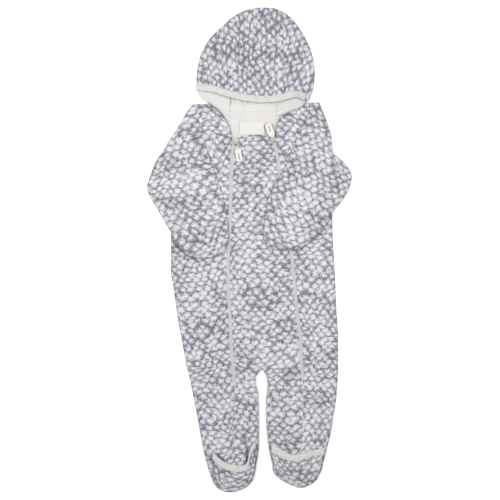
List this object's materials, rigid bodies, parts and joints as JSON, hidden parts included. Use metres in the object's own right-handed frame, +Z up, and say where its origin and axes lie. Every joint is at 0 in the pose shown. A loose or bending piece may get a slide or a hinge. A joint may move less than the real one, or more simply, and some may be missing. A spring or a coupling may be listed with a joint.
{
  "type": "baby snowsuit",
  "caption": "Baby snowsuit of printed fleece laid flat on its back, with a hood, long sleeves, closed feet with fold-over flaps, and long front zips whose pull tabs turn.",
  "frame": {"origin": "on the surface that it lies on, under the middle of its outline", "axes": "+Y from the feet to the hood, +X to the right as seen from above, +Z up out of the cloth"},
  "size_m": [0.317, 0.75, 0.0177],
  "materials": {
    "fleece": "soft brushed fleece printed with a chunky knit look in off-white and lilac grey",
    "lining": "plain off-white brushed cloth",
    "neck_label": "plain white woven label, bare",
    "binding": "plain cream knitted edge binding",
    "zip": "pale grey woven zip tape with a coil",
    "slider": "off-white enamel, slightly glossy",
    "pull_tag": "soft white tab with one plain red line"
  },
  "bodies": {
    "garment": {"back_panel": "fleece", "front_left": "fleece", "front_right": "fleece", "front_center": "fleece", "sleeve_left": "fleece", "sleeve_right": "fleece", "hood_center": "fleece", "hood_left": "fleece", "hood_right": "fleece", "foot_flap_left": "fleece", "foot_flap_right": "fleece", "hood_lining_left": "lining", "hood_lining_center": "lining", "hood_lining_right": "lining", "neck_facing": "lining", "neck_label": "neck_label", "hood_binding": "binding", "foot_binding_left": "binding", "foot_binding_right": "binding", "zip_left": "zip", "zip_right": "zip", "slider_left": "slider", "slider_right": "slider"},
    "pull_left": {"pull_ring_left": "slider", "pull_tag_left": "pull_tag"},
    "pull_right": {"pull_ring_right": "slider", "pull_tag_right": "pull_tag"}
  },
  "joints": [
    {"name": "pull_left_turn", "type": "hinge", "parent": "garment", "child": "pull_left", "pos_m": [-0.02062, 0.166, 0.0105], "axis": [-0.9796, -0.2011, 0], "range_deg": [0, 170]},
    {"name": "pull_right_turn", "type": "hinge", "parent": "garment", "child": "pull_right", "pos_m": [0.03842, 0.166, 0.0105], "axis": [0.9397, 0.342, 0], "range_deg": [0, 170]}
  ]
}
